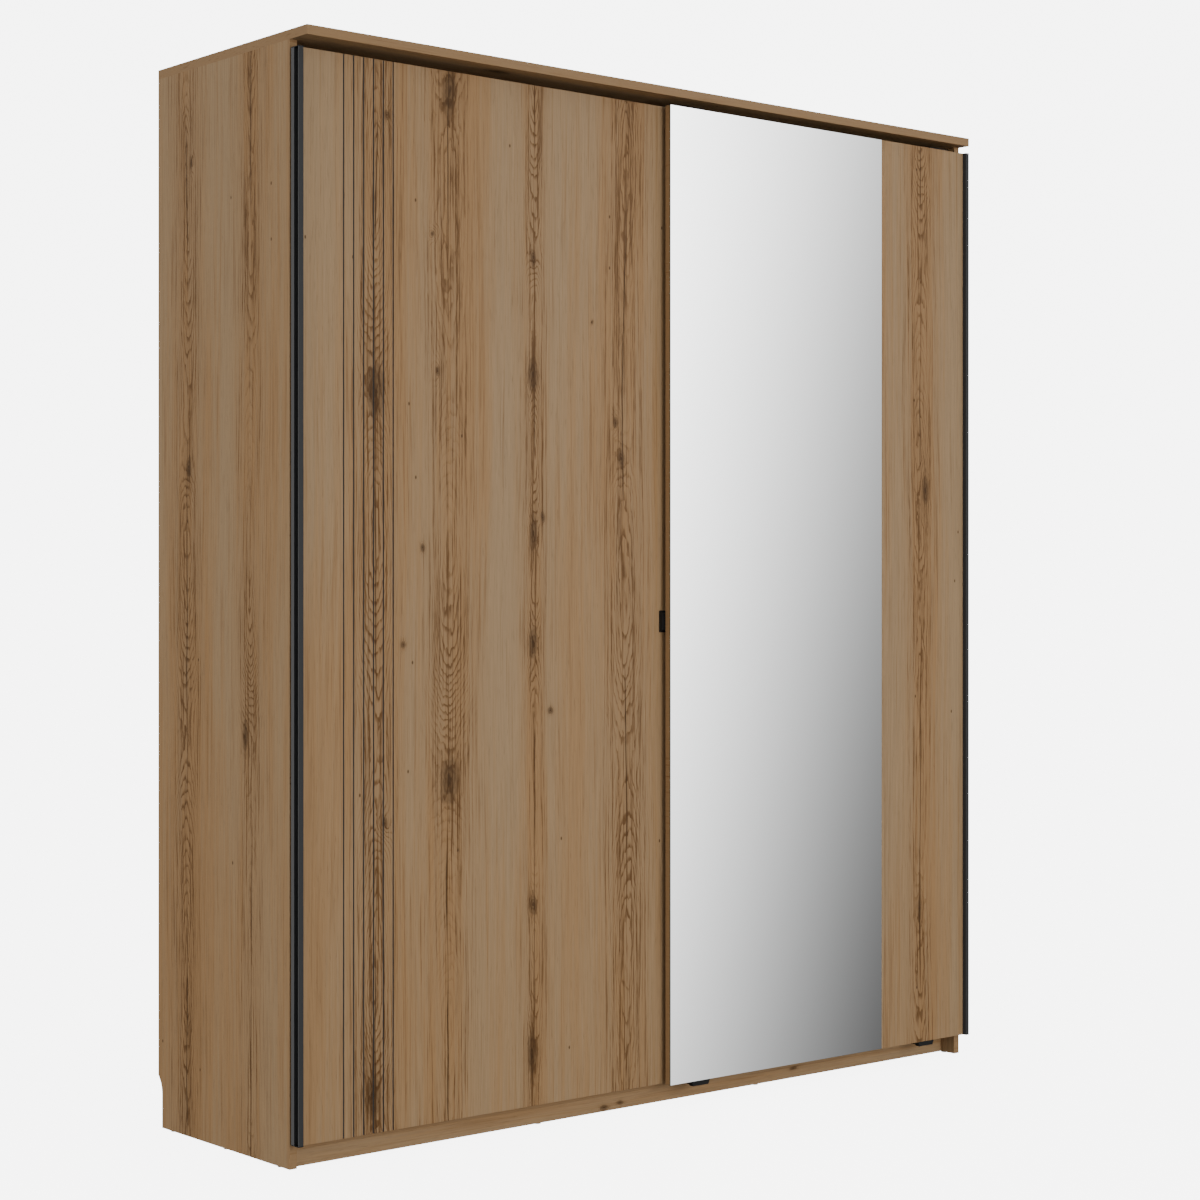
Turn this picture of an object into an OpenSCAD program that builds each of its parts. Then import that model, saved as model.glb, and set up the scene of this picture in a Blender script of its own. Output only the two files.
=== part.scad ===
// Two-door sliding wardrobe with a mirror on the front door.
// X runs along the front, +Y to the wall, +Z up. The origin is on the floor, at the
// middle of the outer box. The doors are shown closed.

/* [Carcass] */
// Outer width
body_w = 1800; // [1700:10:1900]
// Outer height
body_h = 2100; // [2000:10:2200]
// Outer depth, from the top panel's front edge to its rear edge
body_d = 535; // [520:5:600]
// Thickness of the sides, bottom, partition and plinth
board_t = 16; // [16:1:18]
// Thickness of the top panel
top_t = 18; // [16:1:22]
// Thickness of the back sheets
back_t = 3; // [2.5:0.5:3]
// How far the top panel stands over the left side's front edge
top_overhang = 58; // [50:1:65]
// Height of the bottom panel's underside above the floor
plinth_h = 38; // [34:1:50]
// How far the front plinth sits behind the left side's front edge
plinth_recess = 14; // [10:1:40]
// Depth of the skirting notch in the sides
notch_d = 15; // [10:1:16]
// Height at which the skirting notch meets the rear edge
notch_h = 105; // [98:1:115]

/* [Doors] */
// Thickness of a door board
door_t = 16; // [15:1:16]
// Distance between the planes of the two doors
door_pitch = 27; // [27:1:28]
// Gap from the rear door to the left side's front edge
door_back_gap = 5; // [5:0.5:6]
// How far the closed doors cover each other
door_overlap = 10; // [8:1:20]
// Height of the doors' lower edge above the floor
door_z = 48; // [46:1:52]
// Gap between the doors and the top panel
door_top_gap = 16; // [16:1:18]
// How far each door slides
door_travel = 870; // [700:10:870]
// Width of the mirror
mirror_w = 627; // [500:1:700]
// Thickness of the mirror
mirror_t = 3; // [3:1:4]

/* [Door grooves] */
// Number of grooves in the left door
groove_count = 6; // [1:1:8]
// Distance from the door's outer edge to the first groove
groove_first = 105; // [80:1:150]
// Distance between grooves
groove_step = 22.5; // [15:0.5:25]
// Width of a groove
groove_w = 3; // [2:0.5:5]
// Depth of a groove
groove_d = 2; // [1:0.5:3]

/* [Handle profile] */
// Width along the front
handle_w = 10; // [8:1:14]
// How far the lip stands proud of the door's face
handle_lip = 10; // [8:0.5:10]
// Wall thickness
handle_wall = 2; // [1.5:0.5:2]
// Depth of the closed rear part
handle_box_d = 10; // [10:0.5:14]

/* [Inside] */
// Height of the hat shelves' underside
hat_shelf_z = 1690; // [1600:10:1750]
// Distance from the left side's front edge back to the loose shelves
shelf_recess = 40; // [38:1:80]

/* [Hidden] */
$fn = 48;
eps = 0.01;
oak = "#96794f";
oak_edge = "#8a6c46";
graphite = "#3e3f42";
black = "#1c1c1d";
steel = "#b9bcc0";

// Depth is measured from the left side's front edge, so y = 0 there.
back_y = body_d - top_overhang;
inner_l = board_t;
inner_r = body_w - board_t;
mid_x = body_w / 2;
glide_h = 2;
bottom_z = plinth_h;
bottom_top = bottom_z + board_t;
top_z = body_h - top_t;
roof_h = 56;
roof_top = top_z - roof_h;
roof_z = roof_top - board_t;

// The back sheets stand in grooves in the sides. Behind them is the depth of the skirting
// notch, so that the whole back stays clear of the wall.
back_front_y = back_y - notch_d - 1 - back_t;
back_groove = 6;
strip_flange = 1;
panel_back_y = back_front_y - 0.3;
partition_back_y = back_front_y - strip_flange;

// The skirting notch ends in an arc that is tangent to its upright edge.
notch_straight = 68;
notch_rise = notch_h - notch_straight;
notch_r = (notch_rise * notch_rise + notch_d * notch_d) / (2 * notch_d);

// Doors.
door_h = top_z - door_top_gap - door_z;
door_top = door_z + door_h;
door_w = (body_w + door_overlap) / 2;
rear_back = -door_back_gap;
rear_front = rear_back - door_t;
front_back = rear_back - door_pitch;
front_front = front_back - door_t;
right_x = body_w - door_w;
tongue_d = 8;
tongue_t = 1.5;
slot_play = 0.25;
cap_t = 1.5;

// Top running gear: ridges that grooved wheels ride on.
track_base_t = 2;
ridge_w = 3;
ridge_h = 8;
ridge_top = roof_top + track_base_t + ridge_h;
rear_rail_y = 20.5;
front_rail_y = 44.5;
track_y0 = 8;
track_y1 = 56;
track_mid_y = (track_y0 + track_y1) / 2;
track_screw_len = 14;
wheel_r = 14;
wheel_groove_r = 12;
wheel_t = 7;
wheel_play = 0.3;
axle_r = 3;
axle_play = 0.05;
axle_z = ridge_top + wheel_groove_r + wheel_play;
hanger_w = 60;
hanger_t = 3;
plate_t = 2;
plate_h = 74;
pocket_play = 0.2;
flange_gap = 6.5;
rear_arm_z = door_top - 4;
front_arm_z = door_top + 3;
hanger_inset = 75;
rear_hangers = [hanger_inset, door_w - hanger_inset];
front_hangers = [right_x + hanger_inset, body_w - hanger_inset];

// Bottom guides: fins that run in two slots behind the doors.
slot_w = 5;
rail_wall = 1.5;
rail_h = 10;
slot_1_y = 12;
slot_2_y = 26;
slots_mid_y = (slot_1_y + slot_2_y) / 2;
fin_t = 4;
fin_z = bottom_top + rail_wall + 0.5;
guide_w = 40;
guide_free = 86;
guide_handle = 131;
rear_guides = [guide_handle, door_w - guide_free];
front_guides = [right_x + guide_free, body_w - guide_handle];
guide_drop = 10.5;
shoe_screw_in = 10;
front_bridge_z = bottom_top + 11;
rear_bridge_z = bottom_top + 17;
bridge_t = 3;
guide_plate_h = 36;
guide_screw_z = rear_bridge_z + 24;

// Screws.
screw_r = 1.75;
screw_head_r = 3.5;
screw_play = 0.05;

// Inside fittings.
shelf_count = 4;
hat_top = hat_shelf_z + board_t;
shelf_gap = (hat_shelf_z - bottom_top - shelf_count * board_t) / (shelf_count + 1);
pin_r = 2.5;
pin_in = 7.5;
pin_out = 8;
pin_hole = pin_in + 0.2;
pin_rows = [70, 400];
line_step = 32;
rail_y = 235;
rail_z = hat_shelf_z - 45;
tube_h = 30;
tube_w = 15;
tube_wall = 1.2;
socket_len = 12;
socket_wall = 3;
cam_r = 7.5;
cam_h = 12.5;
cam_in = 34;
cam_rows = [90, 400];
bolt_r = 3;
bolt_in = 11;
dowel_r = 4;
dowel_len = 30;
dowel_in_top = 12;
track_screw_x = [for (i = [0 : 5]) 100 + i * (body_w - 200) / 5];
bracket_x = [300, body_w - 300];
bracket_w = 30;
bracket_h = 40;
bracket_t = 2;
bracket_hole_r = 3.5;
bracket_screw_x = [-8, 8];
bracket_screw_len = 13;
glide_r = 7;

function shelf_z(i) = bottom_top + i * shelf_gap + (i - 1) * board_t;

// Everything below is drawn with x from 0 at the left and y from the left side's
// front edge, and this module brings it to the origin.
module placed() {
    translate([-body_w / 2, -body_d / 2 + top_overhang, 0])
        children();
}

module block(x0, x1, y0, y1, z0, z1) {
    translate([x0, y0, z0])
        cube([x1 - x0, y1 - y0, z1 - z0]);
}

module bar_x(x0, x1, y, z, r) {
    translate([x0, y, z])
        rotate([0, 90, 0])
            cylinder(r = r, h = x1 - x0);
}

module bar_y(x, y0, y1, z, r) {
    translate([x, y0, z])
        rotate([-90, 0, 0])
            cylinder(r = r, h = y1 - y0);
}

// A countersunk screw that points down from a flush head.
module screw_down(x, y, z, len, head_h, play = 0) {
    translate([x, y, z]) {
        translate([0, 0, -head_h])
            cylinder(r1 = screw_r + play, r2 = screw_head_r + play, h = head_h);
        translate([0, 0, -len])
            cylinder(r = screw_r + play, h = len - head_h + eps);
    }
}

// The same screw, driven to the front from a door's rear face.
module screw_front(x, y, z, len, head_h, play = 0) {
    translate([x, y, z])
        rotate([-90, 0, 0])
            screw_down(0, 0, 0, len, head_h, play);
}

// ---------------------------------------------------------------- carcass

module side_blank(x0, front_y) {
    difference() {
        block(x0, x0 + board_t, front_y, back_y, glide_h, top_z);
        translate([x0 - 1, back_y - notch_d, -1])
            cube([board_t + 2, notch_d + 1, notch_straight + 1]);
        translate([x0 - 1, back_y - notch_d + notch_r, notch_straight])
            rotate([0, 90, 0])
                cylinder(r = notch_r, h = board_t + 2, $fn = 160);
    }
}

// Holes in the inner face of a side, at x = face, drilled towards dir.
module side_holes(face, dir) {
    for (y = cam_rows) {
        for (z = [bottom_z + board_t / 2, roof_z + board_t / 2])
            bar_x(min(face, face + dir * bolt_in), max(face, face + dir * bolt_in), y, z, bolt_r + 0.05);
        bar_x(min(face, face + dir * cam_h), max(face, face + dir * cam_h),
              y, top_z - cam_in, cam_r + 0.05);
        translate([face + dir * board_t / 2, y, top_z - cam_in])
            cylinder(r = bolt_r + 0.05, h = cam_in + 1);
    }
    for (y = [cam_rows[0] + 60, cam_rows[1] - 60])
        translate([face + dir * board_t / 2, y, top_z - (dowel_len - dowel_in_top)])
            cylinder(r = dowel_r + 0.05, h = dowel_len);
    block(min(face, face + dir * back_groove), max(face, face + dir * back_groove),
          back_front_y - 0.2, back_front_y + back_t + 0.2, bottom_z, roof_top + 0.5);
}

module pin_holes(face, dir, heights) {
    for (z = heights)
        for (y = pin_rows)
            bar_x(min(face, face + dir * pin_hole), max(face, face + dir * pin_hole),
                  y, z, pin_r + 0.05);
}

hat_pins = [hat_shelf_z - pin_r];
shelf_pin_z = [for (i = [1 : shelf_count]) shelf_z(i) - pin_r];
line_holes = [for (z = shelf_pin_z) for (k = [-1 : 1]) z + k * line_step];

module side_left() {
    color(oak)
        placed()
            difference() {
                side_blank(0, 0);
                side_holes(inner_l + eps, -1);
                pin_holes(inner_l + eps, -1, hat_pins);
            }
}

// The right side is deeper by one door pitch, so that it meets the front door.
module side_right() {
    color(oak)
        placed()
            difference() {
                side_blank(inner_r, -door_pitch);
                side_holes(inner_r - eps, 1);
                pin_holes(inner_r - eps, 1, concat(hat_pins, line_holes));
            }
}

module top_panel() {
    color(oak_edge)
        placed()
            difference() {
                block(0, body_w, -top_overhang, back_y, top_z, body_h);
                for (x = [inner_l - board_t / 2, inner_r + board_t / 2]) {
                    for (y = [cam_rows[0] + 60, cam_rows[1] - 60])
                        translate([x, y, top_z - 1])
                            cylinder(r = dowel_r + 0.05, h = dowel_in_top + 1);
                    for (y = cam_rows)
                        translate([x, y, top_z - 1])
                            cylinder(r = bolt_r + 0.05, h = bolt_in + 1);
                }
                for (x = bracket_x)
                    for (dx = bracket_screw_x)
                        translate([x + dx, back_y - bracket_h / 2, top_z - 1])
                            cylinder(r = screw_r + screw_play, h = bracket_screw_len);
            }
}

// Cam and bolt holes at both ends of a level board that lies with its underside at z.
module end_holes(z) {
    for (y = cam_rows)
        for (s = [-1, 1]) {
            x_end = mid_x + s * (mid_x - board_t);
            x_cam = x_end - s * cam_in;
            translate([x_cam, y, z - 1])
                cylinder(r = cam_r + 0.05, h = cam_h + 1);
            bar_x(min(x_cam, x_end + s), max(x_cam, x_end + s), y, z + board_t / 2, bolt_r + 0.05);
        }
}

module partition_dowel_holes(z, len) {
    for (y = [120, 380])
        translate([mid_x, y, z])
            cylinder(r = dowel_r + 0.05, h = len);
}

module carcass_top() {
    color(oak)
        placed()
            difference() {
                block(inner_l, inner_r, 2, panel_back_y, roof_z, roof_top);
                end_holes(roof_z);
                partition_dowel_holes(roof_z - 1, 11);
                for (x = track_screw_x)
                    screw_down(x, track_mid_y, roof_top + track_base_t, track_screw_len,
                               track_base_t, screw_play);
            }
}

module bottom_panel() {
    color(oak_edge)
        placed()
            difference() {
                block(inner_l, inner_r, 0, panel_back_y, bottom_z, bottom_top);
                end_holes(bottom_z);
                partition_dowel_holes(bottom_top - 10, 11);
                for (x = track_screw_x)
                    screw_down(x, slots_mid_y, bottom_top + rail_wall, track_screw_len,
                               rail_wall, screw_play);
            }
}

// The partition is notched at its lower front corner, where the guides run.
module partition() {
    color(oak)
        placed()
            difference() {
                block(mid_x - board_t / 2, mid_x + board_t / 2, 2, partition_back_y, bottom_top, roof_z);
                block(mid_x - board_t, mid_x + board_t, 0, 36,
                      bottom_top - 1, rear_bridge_z + bridge_t + 6);
                partition_dowel_holes(bottom_top - 1, dowel_len - 9);
                partition_dowel_holes(roof_z - (dowel_len - 10), dowel_len);
                pin_holes(mid_x - board_t / 2 - eps, 1, hat_pins);
                pin_holes(mid_x + board_t / 2 + eps, -1, concat(hat_pins, line_holes));
            }
}

module plinth_front() {
    color(oak_edge)
        placed()
            block(inner_l, inner_r, plinth_recess, plinth_recess + board_t, glide_h, bottom_z);
}

module plinth_rear() {
    color(oak)
        placed()
            block(inner_l, inner_r, back_y - 60, back_y - 60 + board_t, glide_h, bottom_z);
}

module plinth_mid() {
    color(oak)
        placed()
            block(mid_x - board_t / 2, mid_x + board_t / 2,
                  plinth_recess + board_t, back_y - 60, glide_h, bottom_z);
}

module top_stretcher() {
    color(oak)
        placed()
            block(inner_l, inner_r, back_y - 62, back_y - 62 + board_t, roof_top, top_z);
}

module back_sheet(x0, x1) {
    color("#d9d4c8")
        placed()
            block(x0, x1, back_front_y, back_front_y + back_t, bottom_z + 1, roof_top - 1);
}

module back_left() {
    back_sheet(inner_l - back_groove + 0.5, mid_x - 0.5);
}

module back_right() {
    back_sheet(mid_x + 0.5, inner_r + back_groove - 0.5);
}

// An H strip that joins the two back sheets behind the partition.
module back_joint_strip() {
    color("white")
        placed() {
            block(mid_x - 10, mid_x + 10, back_front_y - strip_flange, back_front_y,
                  bottom_top + 1, roof_z - 1);
            block(mid_x - 10, mid_x + 10, back_front_y + back_t, back_front_y + back_t + strip_flange,
                  bottom_top + 1, roof_z - 1);
            block(mid_x - 0.5, mid_x + 0.5, back_front_y - eps, back_front_y + back_t + eps,
                  bottom_top + 1, roof_z - 1);
        }
}

// ---------------------------------------------------------------- inside

module hat_shelf_left() {
    color(oak)
        placed()
            block(inner_l + 0.5, mid_x - board_t / 2 - 0.5, 12, panel_back_y - 2, hat_shelf_z, hat_top);
}

module hat_shelf_right() {
    color(oak)
        placed()
            block(mid_x + board_t / 2 + 0.5, inner_r - 0.5, 12, panel_back_y - 2, hat_shelf_z, hat_top);
}

module loose_shelf(i) {
    color(oak)
        placed()
            block(mid_x + board_t / 2 + 0.5, inner_r - 0.5, shelf_recess, panel_back_y - 2,
                  shelf_z(i), shelf_z(i) + board_t);
}

module shelf_1() {
    loose_shelf(1);
}

module shelf_2() {
    loose_shelf(2);
}

module shelf_3() {
    loose_shelf(3);
}

module shelf_4() {
    loose_shelf(4);
}

// A pin stands in the wall at x = face and carries the shelf towards dir.
module shelf_pin(face, dir, y, z) {
    bar_x(min(face - dir * pin_in, face + dir * pin_out), max(face - dir * pin_in, face + dir * pin_out),
          y, z, pin_r);
    bar_x(min(face, face + dir * 1.2), max(face, face + dir * 1.2), y, z - 0.6, pin_r + 0.5);
}

module shelf_pins() {
    color(steel)
        placed()
            for (y = pin_rows) {
                shelf_pin(inner_l, 1, y, hat_pins[0]);
                shelf_pin(mid_x - board_t / 2, -1, y, hat_pins[0]);
                for (z = concat(hat_pins, shelf_pin_z)) {
                    shelf_pin(mid_x + board_t / 2, 1, y, z);
                    shelf_pin(inner_r, -1, y, z);
                }
            }
}

module oval(h, w) {
    translate([-w / 2, -(h - w) / 2])
        square([w, h - w]);
    for (s = [-1, 1])
        translate([0, s * (h - w) / 2])
            circle(d = w);
}

module along_x(x0, x1, y, z) {
    translate([x0, y, z])
        rotate([90, 0, 90])
            linear_extrude(x1 - x0)
                children();
}

module hanging_rail() {
    color("silver")
        placed()
            along_x(inner_l + 3.5, mid_x - board_t / 2 - 3.5, rail_y, rail_z)
                difference() {
                    oval(tube_h, tube_w);
                    oval(tube_h - 2 * tube_wall, tube_w - 2 * tube_wall);
                }
}

// A cup at each end of the rail: a closed foot on the wall and an open rim.
module rail_sockets() {
    color("silver")
        placed() {
            along_x(inner_l, inner_l + 3, rail_y, rail_z)
                oval(tube_h + 2 * socket_wall, tube_w + 2 * socket_wall);
            along_x(inner_l + 3 - eps, inner_l + socket_len, rail_y, rail_z)
                socket_rim();
            along_x(mid_x - board_t / 2 - 3, mid_x - board_t / 2, rail_y, rail_z)
                oval(tube_h + 2 * socket_wall, tube_w + 2 * socket_wall);
            along_x(mid_x - board_t / 2 - socket_len, mid_x - board_t / 2 - 3 + eps, rail_y, rail_z)
                socket_rim();
        }
}

module socket_rim() {
    difference() {
        oval(tube_h + 2 * socket_wall, tube_w + 2 * socket_wall);
        oval(tube_h + 0.6, tube_w + 0.6);
    }
}

// ---------------------------------------------------------------- tracks

module ridge(y) {
    translate([y - ridge_w / 2, 0])
        square([ridge_w, track_base_t + ridge_h - ridge_w / 2]);
    translate([y, track_base_t + ridge_h - ridge_w / 2])
        circle(d = ridge_w);
}

module top_track() {
    color("silver")
        placed()
            difference() {
                along_x(inner_l + 2, inner_r - 2, 0, roof_top) {
                    translate([track_y0, 0])
                        square([track_y1 - track_y0, track_base_t]);
                    ridge(rear_rail_y);
                    ridge(front_rail_y);
                }
                for (x = track_screw_x)
                    screw_down(x, track_mid_y, roof_top + track_base_t + eps, track_screw_len,
                               track_base_t + eps, screw_play);
            }
}

module slot_walls(y) {
    for (s = [-1, 1])
        translate([y + s * (slot_w + rail_wall) / 2 - rail_wall / 2, 0])
            square([rail_wall, rail_h]);
}

module bottom_guide_rail() {
    color("silver")
        placed()
            difference() {
                along_x(inner_l + 2, inner_r - 2, 0, bottom_top) {
                    translate([slot_1_y - 6, 0])
                        square([slot_2_y - slot_1_y + 12, rail_wall]);
                    slot_walls(slot_1_y);
                    slot_walls(slot_2_y);
                }
                for (x = track_screw_x)
                    screw_down(x, slots_mid_y, bottom_top + rail_wall + eps, track_screw_len,
                               rail_wall + eps, screw_play);
            }
}

// A stop sits over a ridge, just beyond a wheel's last position.
module stop(x, y) {
    difference() {
        block(x - 10, x + 10, y - 6, y + 6, roof_top + track_base_t, axle_z + 2);
        block(x - 11, x + 11, y - ridge_w / 2 - 0.1, y + ridge_w / 2 + 0.1,
              roof_top + track_base_t - 1, ridge_top + 0.2);
    }
}

module track_stops() {
    stop_gap = wheel_r + 1.5 + 10;
    color(black)
        placed() {
            stop(rear_hangers[0] - stop_gap, rear_rail_y);
            stop(rear_hangers[1] + door_travel + stop_gap, rear_rail_y);
            stop(front_hangers[0] - door_travel - stop_gap, front_rail_y);
            stop(front_hangers[1] + stop_gap, front_rail_y);
        }
}

module track_screws() {
    color(steel)
        placed()
            for (x = track_screw_x) {
                screw_down(x, track_mid_y, roof_top + track_base_t, track_screw_len, track_base_t);
                screw_down(x, slots_mid_y, bottom_top + rail_wall, track_screw_len, rail_wall);
            }
}

// ---------------------------------------------------------------- fixings

module cam(h) {
    difference() {
        cylinder(r = cam_r, h = h);
        translate([-5, -0.6, -1])
            cube([10, 1.2, 2.5]);
        translate([-0.6, -5, -1])
            cube([1.2, 10, 2.5]);
    }
}

module cam_locks() {
    color(steel)
        placed()
            for (y = cam_rows)
                for (s = [-1, 1]) {
                    for (z = [bottom_z, roof_z])
                        translate([mid_x + s * (mid_x - board_t - cam_in), y, z])
                            cam(cam_h - 0.2);
                    translate([mid_x + s * (mid_x - board_t), y, top_z - cam_in])
                        rotate([0, s * 90, 0])
                            cam(cam_h - 0.2);
                }
}

module cam_bolts() {
    color(steel)
        placed()
            for (y = cam_rows)
                for (s = [-1, 1]) {
                    x_end = mid_x + s * (mid_x - board_t);
                    x_in = x_end - s * (cam_in - cam_r - 0.5);
                    x_out = x_end + s * (bolt_in - 0.2);
                    for (z = [bottom_z, roof_z])
                        bar_x(min(x_in, x_out), max(x_in, x_out), y, z + board_t / 2, bolt_r);
                    translate([x_end + s * board_t / 2, y, top_z - cam_in + cam_r + 0.5])
                        cylinder(r = bolt_r, h = cam_in - cam_r - 0.5 + bolt_in - 0.2);
                }
}

module dowels() {
    color("tan")
        placed() {
            for (x = [inner_l - board_t / 2, inner_r + board_t / 2])
                for (y = [cam_rows[0] + 60, cam_rows[1] - 60])
                    translate([x, y, top_z - (dowel_len - dowel_in_top) + 0.2])
                        cylinder(r = dowel_r, h = dowel_len - 0.4);
            for (y = [120, 380]) {
                translate([mid_x, y, bottom_top - 9.8])
                    cylinder(r = dowel_r, h = dowel_len - 0.6);
                translate([mid_x, y, roof_z - (dowel_len - 10) + 0.2])
                    cylinder(r = dowel_r, h = dowel_len - 0.4);
            }
        }
}

module glides() {
    color(black)
        placed() {
            for (y = [40, 230, back_y - 50])
                translate([board_t / 2, y, 0])
                    cylinder(r = glide_r, h = glide_h);
            for (y = [10, 230, back_y - 50])
                translate([body_w - board_t / 2, y, 0])
                    cylinder(r = glide_r, h = glide_h);
            for (x = [body_w / 3, body_w * 2 / 3])
                translate([x, plinth_recess + board_t / 2, 0])
                    cylinder(r = glide_r, h = glide_h);
            translate([mid_x, back_y / 2, 0])
                cylinder(r = glide_r, h = glide_h);
            for (x = [body_w / 3, body_w * 2 / 3])
                translate([x, back_y - 60 + board_t / 2, 0])
                    cylinder(r = glide_r, h = glide_h);
        }
}

// Angle brackets under the top panel's rear edge, for screws into the wall.
module wall_brackets() {
    color(steel)
        placed()
            for (x = bracket_x)
                difference() {
                    union() {
                        block(x - bracket_w / 2, x + bracket_w / 2, back_y - bracket_h, back_y,
                              top_z - bracket_t, top_z);
                        block(x - bracket_w / 2, x + bracket_w / 2, back_y - bracket_t, back_y,
                              top_z - bracket_h, top_z);
                    }
                    bar_y(x, back_y - bracket_t - 1, back_y + 1, top_z - 24, bracket_hole_r);
                    for (dx = bracket_screw_x)
                        translate([x + dx, back_y - bracket_h / 2, top_z - bracket_t])
                            mirror([0, 0, 1])
                                screw_down(0, 0, eps, bracket_screw_len, bracket_t + 2 * eps, screw_play);
                }
}

module bracket_screws() {
    color(steel)
        placed()
            for (x = bracket_x)
                for (dx = bracket_screw_x)
                    translate([x + dx, back_y - bracket_h / 2, top_z - bracket_t])
                        mirror([0, 0, 1])
                            screw_down(0, 0, 0, bracket_screw_len, bracket_t);
}

// ---------------------------------------------------------------- doors

// Places for the three screws of a hanger plate and the two of a guide plate.
hanger_screws = [[-20, -20], [20, -20], [0, -50]];
guide_screws = [-12, 12];
screw_len = door_t - 4;

// Pocket and pilot holes for a hanger plate in a door's back.
module hanger_pocket(x, back) {
    block(x - hanger_w / 2 - pocket_play, x + hanger_w / 2 + pocket_play, back - plate_t, back + 1,
          door_top - plate_h - pocket_play, door_top + 1);
    for (p = hanger_screws)
        screw_front(x + p[0], back, door_top + p[1], screw_len, plate_t, screw_play);
}

// The tongue slot for a handle in the edge at x = edge, cut towards dir.
module tongue_slot(edge, dir, back) {
    depth = tongue_d + 0.5;
    y_mid = back - door_t / 2;
    block(min(edge - dir, edge + dir * depth), max(edge - dir, edge + dir * depth),
          y_mid - tongue_t / 2 - slot_play, y_mid + tongue_t / 2 + slot_play, door_z - 1, door_top + 1);
}

function groove_x(i) = groove_first + i * groove_step;

module left_door_board() {
    color(oak)
        placed()
            difference() {
                block(handle_w, door_w, rear_front, rear_back, door_z, door_top);
                for (i = [0 : groove_count - 1])
                    block(groove_x(i) - groove_w / 2, groove_x(i) + groove_w / 2,
                          rear_front - 1, rear_front + groove_d, door_z - 1, door_top + 1);
                tongue_slot(handle_w, 1, rear_back);
                for (x = rear_hangers)
                    hanger_pocket(x, rear_back);
                for (x = rear_guides) {
                    block(x - guide_w / 2 - pocket_play, x + guide_w / 2 + pocket_play,
                          rear_back - plate_t, rear_back + 1,
                          rear_bridge_z - pocket_play, rear_bridge_z + guide_plate_h + pocket_play);
                    for (dx = guide_screws)
                        screw_front(x + dx, rear_back, guide_screw_z, screw_len, plate_t, screw_play);
                }
            }
}

// The front door's board is cut back by the mirror's thickness where the mirror lies.
module right_door_board() {
    color(oak)
        placed()
            difference() {
                block(right_x, body_w - handle_w, front_front, front_back, door_z, door_top);
                block(right_x - 1, right_x + mirror_w, front_front - 1, front_front + mirror_t,
                      door_z - 1, door_top + 1);
                tongue_slot(body_w - handle_w, -1, front_back);
                for (x = front_hangers)
                    hanger_pocket(x, front_back);
                for (x = front_guides)
                    for (dx = guide_screws)
                        translate([x + dx, front_back - door_t / 2, door_z - 2])
                            cylinder(r = screw_r + screw_play, h = shoe_screw_in + 3);
            }
}

module mirror_panel() {
    color("#c9ccd0")
        placed()
            block(right_x, right_x + mirror_w, front_front, front_front + mirror_t, door_z, door_top);
}

// Handle section: u runs outwards from the board's edge, v to the front from its back.
module handle_section() {
    lip_v = door_t + handle_lip;
    difference() {
        square([handle_w, lip_v]);
        translate([handle_wall, handle_box_d])
            square([handle_w, lip_v - handle_wall - handle_box_d]);
        translate([handle_wall, handle_wall])
            square([handle_w - 2 * handle_wall, handle_box_d - 2 * handle_wall]);
    }
    translate([-tongue_d, door_t / 2 - tongue_t / 2])
        square([tongue_d + eps, tongue_t]);
}

module left_handle() {
    color(graphite)
        placed()
            translate([handle_w, rear_back, door_z + cap_t])
                linear_extrude(door_h - 2 * cap_t)
                    mirror([1, 0])
                        mirror([0, 1])
                            handle_section();
}

module right_handle() {
    color(graphite)
        placed()
            translate([body_w - handle_w, front_back, door_z + cap_t])
                linear_extrude(door_h - 2 * cap_t)
                    mirror([0, 1])
                        handle_section();
}

module caps(x0, back) {
    for (z = [door_z, door_top - cap_t])
        block(x0, x0 + handle_w, back - door_t - handle_lip, back, z, z + cap_t);
}

module left_handle_caps() {
    color(black)
        placed()
            caps(0, rear_back);
}

module right_handle_caps() {
    color(black)
        placed()
            caps(body_w - handle_w, front_back);
}

// A bent steel hanger: plate in the door's back, arm over the edge, flange for the wheel.
module hanger(x, back, arm_z, rail) {
    flange_y = rail - wheel_t / 2 - 3 - hanger_t;
    difference() {
        union() {
            block(x - hanger_w / 2, x + hanger_w / 2, back - plate_t, back,
                  door_top - plate_h, arm_z + hanger_t);
            block(x - hanger_w / 2, x + hanger_w / 2, back - plate_t, flange_y + hanger_t,
                  arm_z, arm_z + hanger_t);
            block(x - hanger_w / 4, x + hanger_w / 4, flange_y, flange_y + hanger_t,
                  axle_z - flange_gap, arm_z + eps);
        }
        for (p = hanger_screws)
            screw_front(x + p[0], back + eps, door_top + p[1], screw_len, plate_t + 2 * eps, screw_play);
        bar_y(x, flange_y - 1, flange_y + hanger_t + 1, axle_z, axle_r + axle_play);
    }
}

module left_hangers() {
    color(steel)
        placed()
            for (x = rear_hangers)
                hanger(x, rear_back, rear_arm_z, rear_rail_y);
}

module right_hangers() {
    color(steel)
        placed()
            for (x = front_hangers)
                hanger(x, front_back, front_arm_z, front_rail_y);
}

// Shouldered axle: rivet in the flange, collar, journal and retaining head.
module axle(x, rail) {
    flange_y = rail - wheel_t / 2 - 3 - hanger_t;
    bar_y(x, flange_y - 0.5, rail + wheel_t / 2 + 1.6, axle_z, axle_r);
    bar_y(x, flange_y + hanger_t + 0.02, rail - wheel_t / 2 - 0.3, axle_z, axle_r + 2);
    bar_y(x, rail + wheel_t / 2 + 0.3, rail + wheel_t / 2 + 1.8, axle_z, axle_r + 2);
}

module left_axles() {
    color(steel)
        placed()
            for (x = rear_hangers)
                axle(x, rear_rail_y);
}

module right_axles() {
    color(steel)
        placed()
            for (x = front_hangers)
                axle(x, front_rail_y);
}

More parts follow.
